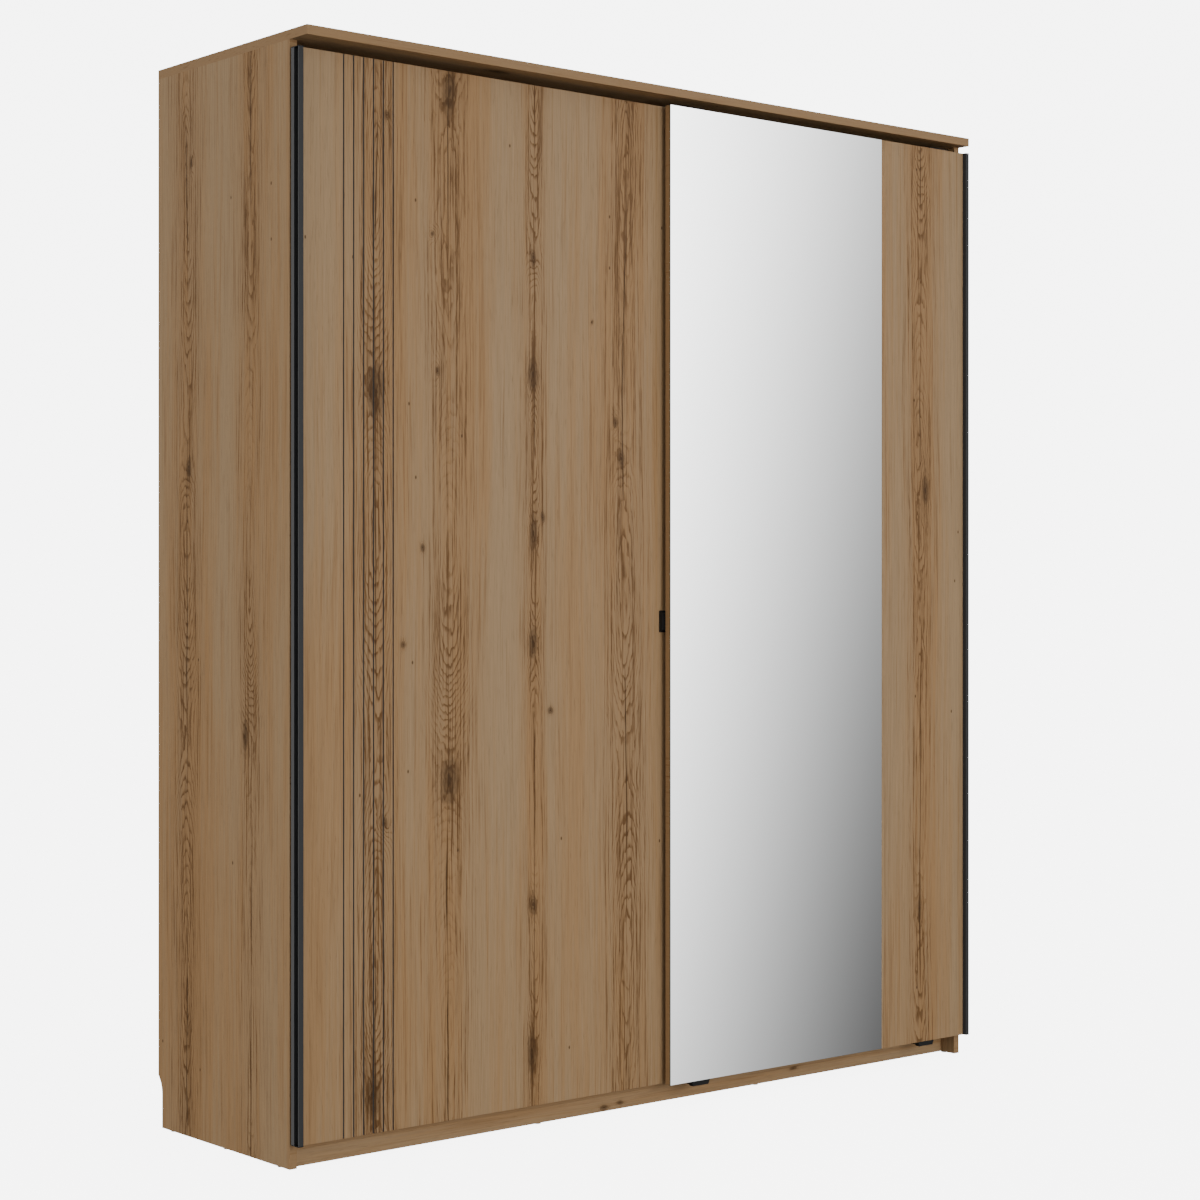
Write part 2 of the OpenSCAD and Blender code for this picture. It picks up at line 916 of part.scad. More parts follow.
// A wheel with a U groove that straddles the ridge.
module wheel(x, rail) {
    groove_half = 2;
    translate([x, rail, axle_z])
        rotate([90, 0, 0])
            rotate_extrude($fn = 96)
                difference() {
                    translate([axle_r + axle_play, -wheel_t / 2])
                        square([wheel_r - axle_r - axle_play, wheel_t]);
                    translate([wheel_groove_r + groove_half, -groove_half])
                        square([wheel_r, 2 * groove_half]);
                    translate([wheel_groove_r + groove_half, 0])
                        circle(r = groove_half);
                }
}

module left_wheel_1() {
    color("white")
        placed()
            wheel(rear_hangers[0], rear_rail_y);
}

module left_wheel_2() {
    color("white")
        placed()
            wheel(rear_hangers[1], rear_rail_y);
}

module right_wheel_1() {
    color("white")
        placed()
            wheel(front_hangers[0], front_rail_y);
}

module right_wheel_2() {
    color("white")
        placed()
            wheel(front_hangers[1], front_rail_y);
}

module left_door_screws() {
    color(steel)
        placed() {
            for (x = rear_hangers)
                for (p = hanger_screws)
                    screw_front(x + p[0], rear_back, door_top + p[1], screw_len, plate_t);
            for (x = rear_guides)
                for (dx = guide_screws)
                    screw_front(x + dx, rear_back, guide_screw_z, screw_len, plate_t);
        }
}

module right_door_screws() {
    color(steel)
        placed() {
            for (x = front_hangers)
                for (p = hanger_screws)
                    screw_front(x + p[0], front_back, door_top + p[1], screw_len, plate_t);
            for (x = front_guides)
                for (dx = guide_screws)
                    translate([x + dx, front_back - door_t / 2, door_z - guide_drop])
                        mirror([0, 0, 1])
                            screw_down(0, 0, 0, guide_drop + shoe_screw_in, 2);
        }
}

module fin(x, y, z_top) {
    block(x - guide_w / 2, x + guide_w / 2, y - fin_t / 2, y + fin_t / 2, fin_z, z_top);
}

// The rear door's guide reaches back over the front door's guide to the far slot.
module left_guides() {
    color(black)
        placed()
            for (x = rear_guides)
                difference() {
                    union() {
                        block(x - guide_w / 2, x + guide_w / 2, rear_back - plate_t, rear_back,
                              rear_bridge_z, rear_bridge_z + guide_plate_h);
                        block(x - guide_w / 2, x + guide_w / 2, rear_back - eps, slot_2_y + fin_t / 2,
                              rear_bridge_z, rear_bridge_z + bridge_t);
                        fin(x, slot_2_y, rear_bridge_z + eps);
                    }
                    for (dx = guide_screws)
                        screw_front(x + dx, rear_back + eps, guide_screw_z, screw_len,
                                    plate_t + 2 * eps, screw_play);
                }
}

// The front door's guide passes under the rear door and rises into the near slot.
module right_guides() {
    shoe_half = 26;
    chamfer = 5;
    shoe_y0 = front_front + 2;
    shoe_y1 = front_back - 2;
    shoe_z = door_z - guide_drop;
    arm_z0 = door_z - 8;
    arm_z1 = door_z - 2;
    tongue_y0 = rear_back + 1;
    tongue_y1 = rear_back + 3.5;
    color(black)
        placed()
            for (x = front_guides)
                difference() {
                    union() {
                        translate([x, shoe_y1, shoe_z])
                            rotate([90, 0, 0])
                                linear_extrude(shoe_y1 - shoe_y0)
                                    polygon([
                                        [-shoe_half + chamfer, 0], [shoe_half - chamfer, 0],
                                        [shoe_half, guide_drop], [-shoe_half, guide_drop]
                                    ]);
                        block(x - guide_w / 2, x + guide_w / 2, shoe_y1 - eps, tongue_y1, arm_z0, arm_z1);
                        block(x - guide_w / 2, x + guide_w / 2, tongue_y0, tongue_y1,
                              arm_z0, front_bridge_z + bridge_t);
                        block(x - guide_w / 2, x + guide_w / 2, tongue_y0, slot_1_y + fin_t / 2,
                              front_bridge_z, front_bridge_z + bridge_t);
                        fin(x, slot_1_y, front_bridge_z + eps);
                    }
                    for (dx = guide_screws)
                        translate([x + dx, front_back - door_t / 2, shoe_z])
                            mirror([0, 0, 1])
                                screw_down(0, 0, eps, guide_drop + shoe_screw_in, 2 + 2 * eps, screw_play);
                }
}

// A spacer at the rear door's free edge keeps the two doors from touching.
module left_bumper() {
    bumper_h = 45;
    bumper_w = 16;
    bumper_z = 980;
    rise = 9;
    ramp = 5;
    color(black)
        placed()
            translate([door_w - 2 - bumper_w, rear_front, bumper_z])
                rotate([90, 0, 90])
                    linear_extrude(bumper_w)
                        polygon([[0, 0], [0, bumper_h], [-rise, bumper_h - ramp], [-rise, ramp]]);
}

side_left();
side_right();
top_panel();
carcass_top();
bottom_panel();
partition();
plinth_front();
plinth_rear();
plinth_mid();
top_stretcher();
back_left();
back_right();
back_joint_strip();
hat_shelf_left();
hat_shelf_right();
shelf_1();
shelf_2();
shelf_3();
shelf_4();
shelf_pins();
hanging_rail();
rail_sockets();
top_track();
bottom_guide_rail();
track_stops();
track_screws();
cam_locks();
cam_bolts();
dowels();
glides();
wall_brackets();
bracket_screws();
left_door_board();
left_handle();
left_handle_caps();
left_hangers();
left_axles();
left_door_screws();
left_guides();
left_bumper();
left_wheel_1();
left_wheel_2();
right_door_board();
mirror_panel();
right_handle();
right_handle_caps();
right_hangers();
right_axles();
right_door_screws();
right_guides();
right_wheel_1();
right_wheel_2();
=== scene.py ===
# %% [markdown]
# # A sliding door wardrobe in oak decor
# The wardrobe is a box of laminated chipboard with two doors that slide past each
# other. Every board, rail and wheel is already made to size in the CAD model, so
# this script adds what CAD can't: the look of each finish, the light and the camera.
# The first cell loads the CAD model as a fixed frame.

# %% Load the frame
import math
import bpy
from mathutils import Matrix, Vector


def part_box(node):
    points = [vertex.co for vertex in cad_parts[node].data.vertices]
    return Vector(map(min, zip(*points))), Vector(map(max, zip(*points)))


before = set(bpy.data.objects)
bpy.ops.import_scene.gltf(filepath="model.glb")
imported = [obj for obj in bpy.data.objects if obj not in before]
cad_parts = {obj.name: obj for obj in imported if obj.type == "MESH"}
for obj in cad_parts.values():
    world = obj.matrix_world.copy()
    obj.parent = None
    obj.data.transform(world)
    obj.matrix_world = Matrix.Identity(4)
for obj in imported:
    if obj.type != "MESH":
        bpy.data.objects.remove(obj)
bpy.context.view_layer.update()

# %% [markdown]
# ## Sums on sockets
# A finish that varies over a surface is arithmetic on pictures of noise. Wiring each
# sum by hand is slow to read, so a small class holds one socket and writes plain
# Python sums as Math nodes. It needs the reflected forms too, so that 1 - mask works
# as well as mask - 1.

# %% A socket that can be added, scaled and compared
class Value:
    def __init__(self, finish, socket):
        self.finish = finish
        self.socket = socket

    def sum(self, operation, *others):
        numbers = {i: other for i, other in enumerate((self,) + others)}
        return self.finish.add("ShaderNodeMath", {"operation": operation}, numbers)

    def beside(self, output):
        """Another output of the same node."""
        return Value(self.finish, self.socket.node.outputs[output])

    def __add__(self, other):
        return self.sum("ADD", other)

    def __radd__(self, other):
        return self.sum("ADD", other)

    def __sub__(self, other):
        return self.sum("SUBTRACT", other)

    def __rsub__(self, other):
        return self.sum("MULTIPLY", -1.0).sum("ADD", other)

    def __mul__(self, other):
        return self.sum("MULTIPLY", other)

    def __rmul__(self, other):
        return self.sum("MULTIPLY", other)

    def __truediv__(self, other):
        return self.sum("DIVIDE", other)

    def __pow__(self, other):
        return self.sum("POWER", other)

    def __lt__(self, other):
        return self.sum("LESS_THAN", other)

    def __gt__(self, other):
        return self.sum("GREATER_THAN", other)

    def __abs__(self):
        return self.sum("ABSOLUTE")

    def least(self, other):
        return self.sum("MINIMUM", other)

    def most(self, other):
        return self.sum("MAXIMUM", other)

    def rise(self, low, high):
        """0 below low, 1 above high, with a soft step between."""
        bounds = {"Value": self, "From Min": low, "From Max": high}
        return self.finish.add("ShaderNodeMapRange", {"interpolation_type": "SMOOTHSTEP"}, bounds)

    def hill(self, width):
        """1 where the value is 0, falling away softly over the width."""
        scaled = self / width
        return (scaled * scaled * -1.0).sum("EXPONENT")


print("sums ready")

# %% [markdown]
# ## A tree of nodes
# Materials and the world are both trees of nodes. One method adds any node: its type,
# its settings, then its sockets. The others are short names for the few kinds that
# nearly every finish uses.

# %% Adding nodes
class Nodes:
    def __init__(self, tree):
        self.tree = tree

    def add(self, kind, settings=None, inputs=None, output=0):
        node = self.tree.nodes.new(kind)
        for setting, value in (settings or {}).items():
            setattr(node, setting, value)
        for key, value in (inputs or {}).items():
            if isinstance(value, Value):
                self.tree.links.new(value.socket, node.inputs[key])
            else:
                node.inputs[key].default_value = value
        return Value(self, node.outputs[output])

    def parts(self, vector):
        split = self.add("ShaderNodeSeparateXYZ", None, {"Vector": vector})
        return [split.beside(axis) for axis in "XYZ"]

    def point(self, x=0.0, y=0.0, z=0.0):
        return self.add("ShaderNodeCombineXYZ", None, {"X": x, "Y": y, "Z": z})

    def noise(self, vector, detail=2.0, roughness=0.5, scale=1.0):
        sockets = {"Vector": vector, "Scale": scale, "Detail": detail, "Roughness": roughness}
        return self.add("ShaderNodeTexNoise", None, sockets)

    def cells(self, vector, scale=1.0, **settings):
        sockets = {"Vector": vector, "Scale": scale}
        return self.add("ShaderNodeTexVoronoi", settings, sockets)

    def mix(self, first, second, share):
        settings = {"data_type": "RGBA"}
        sockets = {0: share, 6: self.colour(first), 7: self.colour(second)}
        return self.add("ShaderNodeMix", settings, sockets, 2)

    def shade(self, colour, amount):
        """Multiply a colour by a plain value."""
        scale = {"operation": "SCALE"}
        return self.add("ShaderNodeVectorMath", scale, {0: colour, "Scale": amount})

    def colour(self, value):
        return value if isinstance(value, Value) else (*value, 1.0)


print("nodes ready")

# %% [markdown]
# ## A finish
# Every material here is made the same way: one Principled shader, and nodes that feed
# its colour, roughness and bump. Places are read from the object's own coordinates,
# which are metres in the CAD frame. So every knot and heart column can be put where it
# belongs on its board, and it moves with its door.

# %% The finish class
class Finish(Nodes):
    def __init__(self, name, **shader):
        self.material = bpy.data.materials.new(name)
        self.material.use_nodes = True
        super().__init__(self.material.node_tree)
        self.shader = self.tree.nodes["Principled BSDF"]
        for socket, value in shader.items():
            self.shader.inputs[socket.replace("_", " ")].default_value = value
        place = self.tree.nodes.new("ShaderNodeTexCoord")
        self.place = Value(self, place.outputs["Object"])
        self.facing = Value(self, place.outputs["Normal"])

    def wear(self, **sockets):
        """Feed the Principled shader's own sockets."""
        for name, value in sockets.items():
            socket = self.shader.inputs[name.replace("_", " ")]
            if isinstance(value, Value):
                self.tree.links.new(value.socket, socket)
            else:
                socket.default_value = value

    def relief(self, height, depth, strength=1.0):
        """A bump whose full height is the given depth in metres."""
        sockets = {"Height": height, "Distance": depth, "Strength": strength}
        bump = self.add("ShaderNodeBump", None, sockets)
        self.tree.links.new(bump.socket, self.shader.inputs["Normal"])


def dress(finish, *nodes):
    """Put a finish on CAD nodes, in every slot they have."""
    for node in nodes:
        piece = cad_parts[node]
        slots = piece.data.materials
        if len(slots) == 0:
            slots.append(finish.material)
        for i in range(len(slots)):
            slots[i] = finish.material
    print(finish.material.name, "on", ", ".join(nodes))


print("finish class ready")

# %% [markdown]
# ## Knotty oak decor
# The boards wear a printed oak with a satin, lightly embossed surface. It has four
# layers: a greyish tan ground with fine fibres, broad streaks of warmer tan, heart
# columns where the saw cut through the middle of the tree and left nested arches, and
# knots with dark tails and thin cracks.
#
# An image of oak would be the easy way, but it would repeat and blur close up. Here
# each layer is a sum on noise, and the layers are laid over one another at the end.
# A stretched noise makes everything that runs with the grain. The three numbers that
# stretch it say how many waves there are per metre across, into and along the board.
# Hearts and knots are placed by two distances instead: how far the nearest heart
# column is, and how far the nearest knot.

# %% Oak colours
GREY_OAK = (0.368, 0.246, 0.134)
TAN_OAK = (0.362, 0.208, 0.092)
BROWN_OAK = (0.128, 0.059, 0.018)
KNOT_BROWN = (0.052, 0.024, 0.007)
print("oak colours:", GREY_OAK, TAN_OAK)


# %% Where the heart columns and knots lie
NEXT_COLUMN = 3.7  # added to a column's number, so that no two share their noise
TAIL_SHAPE = (1 / 0.4, 0.22, 0)  # a knot's tail is narrower than the knot and much longer


def nearest_heart(across, hearts):
    """Distance from the nearest heart column, and a number that tells columns apart."""
    offset = (across - hearts[0][0]) / hearts[0][1]
    which = across * 0.0
    for i, (heart, breadth) in enumerate(hearts[1:]):
        other = (across - heart) / breadth
        closer = abs(other) < abs(offset)
        offset = offset + closer * (other - offset)
        which = which + closer * ((i + 1) * NEXT_COLUMN - which)
    return offset, which


def repeated_heart(across, spacing):
    """The same for boards whose columns simply repeat across their width."""
    steps = across / spacing + 0.37
    whole = steps.sum("FLOOR")
    return (steps - whole - 0.5) * spacing, whole * NEXT_COLUMN


def nearest_knot(oak, across, along, knots):
    """How far the nearest knot and the nearest knot's tail are, in their own sizes."""
    knot = tail = None
    stretch = {"operation": "MULTIPLY"}
    measure = {"operation": "LENGTH"}
    for x, z, wide, high in knots:
        step = oak.point(across - x, along - z)
        near = oak.add("ShaderNodeVectorMath", stretch, {0: step, 1: (1 / wide, 1 / high, 0)})
        size = oak.add("ShaderNodeVectorMath", measure, {0: near}, "Value")
        drawn = oak.add("ShaderNodeVectorMath", stretch, {0: near, 1: TAIL_SHAPE})
        streak = oak.add("ShaderNodeVectorMath", measure, {0: drawn}, "Value")
        knot = size if knot is None else knot.least(size)
        tail = streak if tail is None else tail.least(streak)
    return knot, tail


def scattered_knot(oak, across, along):
    """Knots at random places, for boards that nobody looks at closely."""
    away = oak.cells(oak.point(across * 5.0, along * 1.7), voronoi_dimensions="2D")
    return away / 0.055, away / 0.16 + 0.9


print("hearts and knots ready")

# %% [markdown]
# ## Fibres and knots
# Some layers need nothing but the place on the board. Fibres, streaks, bands and pores
# are one noise each, from fine to broad. A knot is a dark eye with rings and a heart of
# its own, and a thin tail above and below it. Pin knots are specks that sit in some
# cells of a wide grid.

# %% Layers of the ground and the knots
def ground_layers(oak, bent, depth, length):
    """Fine fibres, streaks, broad bands of grey and tan, and open pores."""
    fibre = oak.noise(oak.point(bent * 420.0, depth * 60.0, length * 7.0), 3.0, 0.6)
    streak = oak.noise(oak.point(bent * 75.0, depth * 9.0, length * 1.9), 3.0, 0.6)
    band = oak.noise(oak.point(bent * 11.0, depth, length * 0.7), 2.0)
    pores = oak.noise(oak.point(bent * 700.0, depth * 90.0, length * 34.0), 1.0)
    return fibre, streak, band, pores.rise(0.60, 0.74)


def knot_darkness(knot, tail, dashes):
    """How dark a knot and its tail are."""
    eye = 1.0 - knot.rise(0.80, 1.0)
    grown = ((knot * 15.0).sum("SINE") * 0.5 + 0.5) * knot.hill(1.2)
    heartwood = (knot - 0.15).hill(0.30)
    dark = eye * 0.34 + grown * 0.36 + heartwood * 0.22
    return dark.most(tail.hill(0.26) * (0.25 + 0.65 * dashes))


def pin_knots(oak, side, length):
    """Specks, where the grid's own random colour allows one."""
    pins = oak.cells(oak.point(side * 8.0, length * 4.5), voronoi_dimensions="2D")
    chance = oak.parts(pins.beside("Color"))[0] > 0.72
    return (1.0 - pins.rise(0.008, 0.022)) * chance * 0.8


print("ground and knots ready")

# %% [markdown]
# ## Growth rings
# A tree's rings are circles round its middle. Along a heart column that middle comes
# nearer to the board's face and goes away from it again, so the circles meet the face
# in nested arches. That is how a cathedral figure grows, and here the arches point up
# in one place and down in another without being told to.
#
# A ring is a thin dark line with a slower fall on its far side. Noise shifts the rings
# a little, a knot pushes them aside, and a second noise breaks each into dashes.

# %% Rings across the face
RING_PITCH = 0.0040  # metres from one growth ring to the next


def growth_rings(oak, bent, depth, length, column, knot):
    """Arches of the rings, broken into dashes, and the dashes alone."""
    offset, which = column
    # How many metres the tree's middle lies behind the face. Where this is negative
    # the middle has come out in front, and the arches have turned over.
    beneath = oak.noise(oak.point(which + 4.0, length * 1.9, 7.0), 0.0) * 0.125 - 0.026
    radius = (offset * offset + beneath * beneath) ** 0.5
    rough = oak.noise(oak.point(bent * 15.0, depth, length * 5.0), 2.0) * 4.6
    jitter = oak.noise(oak.point(bent * 100.0, depth, length * 30.0), 2.0) * 1.2
    ring = (radius / RING_PITCH + rough + jitter + knot.hill(2.6) * 3.4).sum("FRACT")
    arch = ring.rise(0.0, 0.12) * (1.0 - ring.rise(0.10, 0.52))
    dashes = oak.noise(oak.point(bent * 380.0, depth * 30.0, length * 26.0), 2.0)
    dashes = dashes.rise(0.36, 0.60)
    return arch * (0.40 + 0.75 * dashes), dashes


print("ring pitch:", RING_PITCH)

# %% [markdown]
# ## Edge bands
# A board's edges are covered by a band with a grain of its own. It runs across the
# edge on doors and uprights, and along it on level boards, so each board says how many
# waves per metre its band has across, into and along the board.

# %% Oak on the edges
CROSS_GRAIN = (9.0, 14.0, 210.0)
LONG_GRAIN = (60.0, 900.0, 5.0)


def edge_band(oak, side, depth, length, grain):
    """The colour of the band round a board."""
    across, into, along = grain
    cross = oak.noise(oak.point(side * across, depth * into, length * along), 3.0, 0.6)
    patch = oak.noise(oak.point(side, depth, length * 7.0), 1.0)
    tape = oak.shade(oak.mix(TAN_OAK, GREY_OAK, patch * 0.6), 0.88)
    tape = oak.mix(tape, BROWN_OAK, cross.rise(0.52, 0.76) * patch.rise(0.3, 0.6) * 0.7)
    return oak.shade(tape, 0.82 + 0.4 * cross)


print("edge bands:", CROSS_GRAIN, LONG_GRAIN)

# %% [markdown]
# ## The whole decor
# One function puts the layers together for any board. It is told which axis runs
# across the grain, which along it and which the board is flat to. A board in full
# view gets its own list of hearts and knots; on the others they simply repeat.
#
# The colours are laid from the ground up: grey and tan first, then the brown of rings
# and fine lines, then the darkest parts of knots and cracks, and last the fibres,
# which lighten or darken whatever lies under them.

# %% The oak finish
CORE, FLANK, GLOW = 0.040, 0.060, 0.080  # metres that a column's layers reach to each side
CRACK = (0.0004, 0.0022)  # a crack is darkest within the first distance, gone at the second
EMBOSSING = 0.00045  # metres from the deepest pore to the highest fibre


def oak_decor(name, across, along, flat, hearts=None, knots=None, start=0.0, spacing=0.21,
              grain=CROSS_GRAIN):
    """Oak on a board: the axes across and along its grain, and the axis it is flat to."""
    oak = Finish(name, Roughness=0.5, Specular_IOR_Level=0.18)
    oak.axes = dict(zip("XYZ", oak.parts(oak.place)))
    side = oak.axes[across] + start
    length = oak.axes[along]
    depth = oak.axes[flat] * 0.5

    # Slow sways make every line wander a little.
    sway = oak.noise(oak.point(side * 3.0, depth, length * 1.3), 1.0) - 0.5
    ripple = oak.noise(oak.point(side * 22.0, depth, length * 7.0), 2.0) - 0.5
    bent = side + sway * 0.022 + ripple * 0.003

    fibre, streak, band, pores = ground_layers(oak, bent, depth, length)

    # The nearest heart column, and the knots.
    if hearts:
        offset, which = nearest_heart(side, hearts)
        knot, tail = nearest_knot(oak, bent + ripple * 0.006, length + ripple * 0.03, knots)
    else:
        offset, which = repeated_heart(side, spacing)
        knot, tail = scattered_knot(oak, bent, length)
    gnarl = oak.noise(oak.point(bent * 130.0, depth, length * 60.0), 3.0, 0.6) - 0.5
    knot = knot + gnarl * 0.75
    tail = tail + gnarl * 0.9
    drift = oak.noise(oak.point(which, length * 1.1, 3.0), 1.0) - 0.5
    offset = offset + drift * 0.034 + ripple * 0.006

    # A column's core comes and goes along the board, and a crack opens here and there.
    reach = oak.noise(oak.point(which + 9.0, length * 1.6, 1.0), 1.0).rise(0.34, 0.56)
    core = offset.hill(CORE) * (0.20 + 0.80 * reach)
    flank = offset.hill(FLANK)
    glow = offset.hill(GLOW)
    arch, dashes = growth_rings(oak, bent, depth, length, (offset, which), knot)
    lines = oak.noise(oak.point(bent * 260.0, depth * 20.0, length * 3.2), 3.0, 0.6)
    lines = lines.rise(0.50, 0.62)
    gate = oak.noise(oak.point(which + 2.0, length * 2.3, 5.0), 1.0).rise(0.44, 0.56)
    crack = (1.0 - abs(offset + ripple * 0.002).rise(*CRACK)) * gate

    # Ground, rings and lines.
    warm = (streak * 1.8 + band * 2.4 - 1.7).rise(0.0, 1.0) * 0.80 + glow * 0.55
    colour = oak.mix(GREY_OAK, TAN_OAK, warm.least(1.0))
    brown = core * (0.11 + 0.95 * arch) + flank * lines * (0.28 + 0.65 * dashes)
    brown = brown + lines * streak.rise(0.42, 0.66) * 0.28
    around = knot.hill(1.25) * (0.25 + 0.55 * arch) + tail.hill(0.8) * lines * 0.75
    colour = oak.mix(colour, BROWN_OAK, (brown + around).least(0.94))

    # Knots and cracks, and the fibres over everything.
    dark = knot_darkness(knot, tail, dashes).most(crack * 0.95)
    colour = oak.mix(colour, KNOT_BROWN, dark.least(0.92))
    colour = oak.mix(colour, KNOT_BROWN, pin_knots(oak, side, length))
    colour = oak.shade(colour, 0.73 + 0.54 * fibre - pores * 0.15)

    # The edge bands take over where the surface turns away from the face.
    oak.turned = dict(zip("XYZ", oak.parts(oak.facing)))
    edge = 1.0 - abs(oak.turned[flat]).rise(0.4, 0.6)
    oak.surface = oak.mix(colour, edge_band(oak, side, depth, length, grain), edge)

    oak.relief(pores * -0.6 + fibre * 0.25 - dark * 0.8, EMBOSSING, 0.55)
    oak.wear(Base_Color=oak.surface, Roughness=0.46 + 0.10 * fibre + pores * 0.10)
    return oak


print("oak columns reach", CORE, FLANK, GLOW)

# %% [markdown]
# ## The left door
# The rear door has four heart columns, one of them behind a group of six milled
# grooves. Its knots sit on the columns, and a few small ones lie between them. A heart
# is a place across the board and a breadth, where 1 is a full column. A knot is a
# place across, a height, and its half width and half height. All are measured from
# the board's lower left corner, so the door would keep its figure if the wardrobe
# stood elsewhere.
#
# The grooves are cut in the CAD board and are dark grey inside. A separate inlay could
# show that dark grey, but the board's own material can do it with a mask: whatever lies
# behind the face, between the first and the last groove.

# %% Oak on the left door
def on_board(node, hearts, knots, across=0):
    """Turn places on a board into places in the frame."""
    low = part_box(node)[0]
    shifted = [(low[across] + heart, breadth) for heart, breadth in hearts]
    moved = [(low[across] + x, low[2] + z, w, h) for x, z, w, h in knots]
    return shifted, moved


left_hearts = [(0.168, 0.9), (0.341, 1.0), (0.548, 0.5), (0.785, 1.0)]
left_knots = [
    (0.168, 1.396, 0.021, 0.056), (0.341, 1.976, 0.016, 0.045), (0.341, 0.655, 0.023, 0.048),
    (0.545, 1.682, 0.008, 0.018), (0.545, 1.445, 0.015, 0.036), (0.548, 0.911, 0.012, 0.030),
    (0.541, 0.397, 0.011, 0.022), (0.230, 0.914, 0.006, 0.007), (0.277, 1.104, 0.006, 0.009),
    (0.591, 0.777, 0.007, 0.008), (0.775, 1.290, 0.010, 0.020), (0.572, 1.165, 0.007, 0.012),
    (0.548, 1.130, 0.008, 0.040), (0.300, 1.700, 0.004, 0.005), (0.700, 1.560, 0.003, 0.004),
    (0.161, 0.067, 0.018, 0.045), (0.542, 0.109, 0.013, 0.045), (0.189, 0.578, 0.007, 0.012),
    (0.196, 1.918, 0.007, 0.010), (0.312, 1.440, 0.005, 0.010), (0.760, 1.363, 0.007, 0.011),
]
hearts, knots = on_board("left_door_board", left_hearts, left_knots)
left_oak = oak_decor("oak_left_door", "X", "Z", "Y", hearts, knots)

groove_dark_grey = (0.085, 0.082, 0.078)
first_groove, last_groove = 0.085, 0.222  # across the board
just_behind, below_grooves = 0.0002, 0.0035  # into the board from its face
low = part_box("left_door_board")[0]
x, y = left_oak.axes["X"], left_oak.axes["Y"]
behind = (y > low[1] + just_behind) * (y < low[1] + below_grooves)
between = (x > low[0] + first_groove) * (x < low[0] + last_groove)
upright = abs(left_oak.turned["Z"]) < 0.5
# Dark grey inside the grooves: on upright faces between the first and last groove, from just behind
# the face down to the grooves' floor.
grooved_colour = left_oak.mix(left_oak.surface, groove_dark_grey, behind * between * upright)
left_oak.wear(Base_Color=grooved_colour)
dress(left_oak, "left_door_board")

# %% [markdown]
# ## The right door and the sides
# The front door shows only a narrow strip of oak beside its mirror, with one heart
# column; its other two show on its back. The left side has two. The right side and
# the partition are seen only in other views and with the doors open, so their columns
# simply repeat.

# %% Oak on the right door, sides and partition
right_hearts = [(0.560, 1.0), (0.330, 1.0), (0.752, 0.8)]
right_knots = [
    (0.768, 1.244, 0.011, 0.032), (0.752, 0.300, 0.006, 0.030), (0.560, 0.900, 0.010, 0.030),
]
hearts, knots = on_board("right_door_board", right_hearts, right_knots)
dress(oak_decor("oak_right_door", "X", "Z", "Y", hearts, knots), "right_door_board")

side_hearts = [(0.367, 1.0), (0.137, 0.8)]
side_knots = [
    (0.360, 1.304, 0.011, 0.026), (0.151, 0.793, 0.010, 0.034), (0.352, 1.900, 0.004, 0.012),
]
hearts, knots = on_board("side_left", side_hearts, side_knots, across=1)
dress(oak_decor("oak_left_side", "Y", "Z", "X", hearts, knots), "side_left")
dress(oak_decor("oak_right_side", "Y", "Z", "X", start=0.6), "side_right")
dress(oak_decor("oak_partition", "Y", "Z", "X", start=1.9), "partition")

# %% [markdown]
# ## Level boards
# On the top, the bottom, the plinth and the shelves the grain runs along the front.
# A few versions are enough: the top, the front plinth with its three small knots, the
# hidden rails, the bottom and the board under the top, the shelves, and the block
# under the bottom.

# %% Oak on the level boards
top_oak = oak_decor("oak_top", "Y", "X", "Z", start=0.35, spacing=0.24, grain=LONG_GRAIN)
dress(top_oak, "top_panel")

plinth_hearts = [(0.115, 1.0)]
plinth_knots = [
    (0.012, -0.135, 0.006, 0.013), (0.017, -0.089, 0.005, 0.010), (0.022, 0.410, 0.004, 0.012),
]
plinth_oak = oak_decor("oak_plinth", "Z", "X", "Y", plinth_hearts, plinth_knots, grain=LONG_GRAIN)
dress(plinth_oak, "plinth_front")

rail_oak = oak_decor("oak_rails", "Z", "X", "Y", start=0.085, spacing=0.36)
dress(rail_oak, "plinth_rear", "top_stretcher")
level_oak = oak_decor("oak_level", "Y", "X", "Z", start=2.4, grain=LONG_GRAIN)
dress(level_oak, "bottom_panel", "carcass_top")
shelf_oak = oak_decor("oak_shelf", "Y", "X", "Z", start=3.1, grain=LONG_GRAIN)
dress(shelf_oak, "hat_shelf_left", "hat_shelf_right", "shelf_1", "shelf_2", "shelf_3", "shelf_4")
dress(oak_decor("oak_block", "Z", "Y", "X", start=1.2), "plinth_mid")

# %% [markdown]
# ## Graphite aluminium
# The handles are extruded bars, blasted and anodised in graphite. Extrusion leaves
# faint lines along the bar, and anodising makes a fine, slightly uneven sheen. The
# outer side is painted a shade lighter and the front lip a shade darker, as painted
# light and shade for how the lamps fall on them, so the tone is chosen by the way
# each face points. In the groove the darker tone stays, so it is nearly black.

# %% The handle finish
graphite = Finish("graphite_anodised", Metallic=0.05, Specular_IOR_Level=0.12)
x, y, z = graphite.parts(graphite.place)
drawn = graphite.noise(graphite.point(x * 2600.0, y * 2600.0, z * 6.0), 2.0)
cloud = graphite.noise(graphite.point(x * 30.0, y * 30.0, z * 5.0), 2.0)
grains = graphite.noise(graphite.point(x * 3500.0, y * 3500.0, z * 3500.0), 0.0)
uneven = drawn * 0.6 + cloud * 0.4
